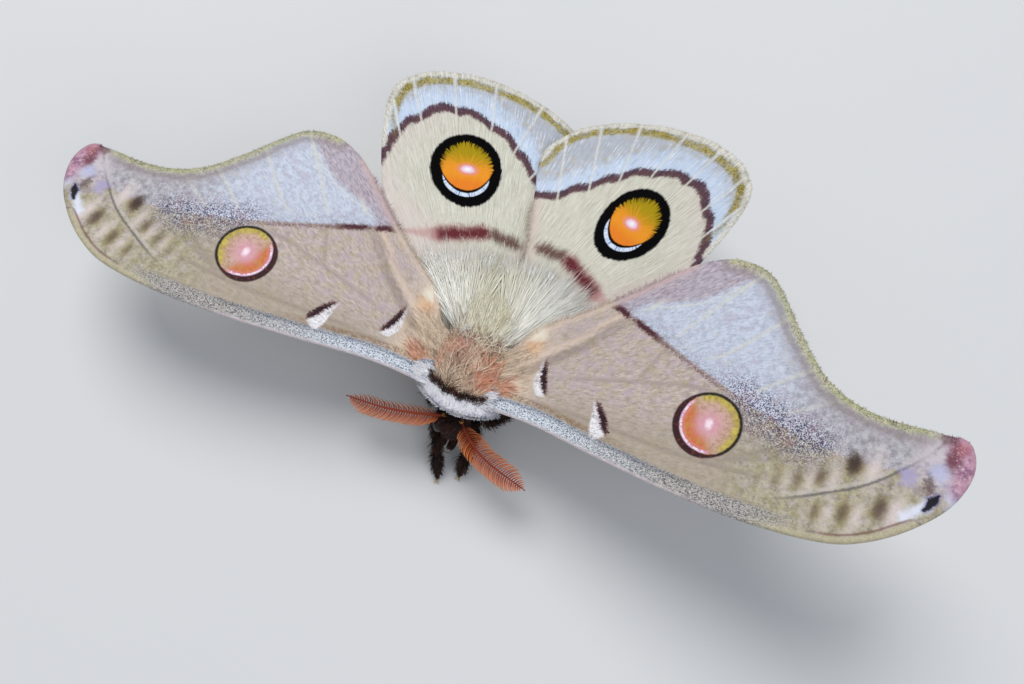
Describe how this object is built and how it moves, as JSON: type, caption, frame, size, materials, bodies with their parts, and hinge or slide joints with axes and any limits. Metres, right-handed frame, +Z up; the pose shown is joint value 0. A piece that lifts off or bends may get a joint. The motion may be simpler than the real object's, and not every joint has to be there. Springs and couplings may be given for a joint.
{
  "type": "emperor gum moth model",
  "caption": "Life-size emperor gum moth standing with its eyespotted wings spread and its comb-like feelers held out.",
  "frame": {"origin": "on the floor, under the middle of the box that bounds the whole moth", "axes": "+X to the moth's left, along the longest extent, from wing tip to wing tip; the head points to -Y; +Z up, the shortest extent"},
  "size_m": [0.1333, 0.062, 0.0335],
  "materials": {
    "thorax_fur": "woolly hair",
    "pale_scales": "dense pale scales",
    "dark_fur": "short dark hair",
    "eye": "glossy",
    "abdomen_fur": "short woolly hair",
    "antenna": "satin",
    "forewing": "scaled membrane",
    "hindwing": "scaled membrane"
  },
  "bodies": {
    "root": {"thorax": "thorax_fur", "collar": "pale_scales", "head": "dark_fur", "eye_left": "eye", "eye_right": "eye", "abdomen": "abdomen_fur", "antenna_left": "antenna", "antenna_right": "antenna", "forewing_left": "forewing", "forewing_right": "forewing", "hindwing_left": "hindwing", "hindwing_right": "hindwing", "leg_front_left": "dark_fur", "leg_front_right": "dark_fur", "leg_mid_left": "dark_fur", "leg_mid_right": "dark_fur", "leg_hind_left": "dark_fur", "leg_hind_right": "dark_fur"}
  },
  "joints": []
}
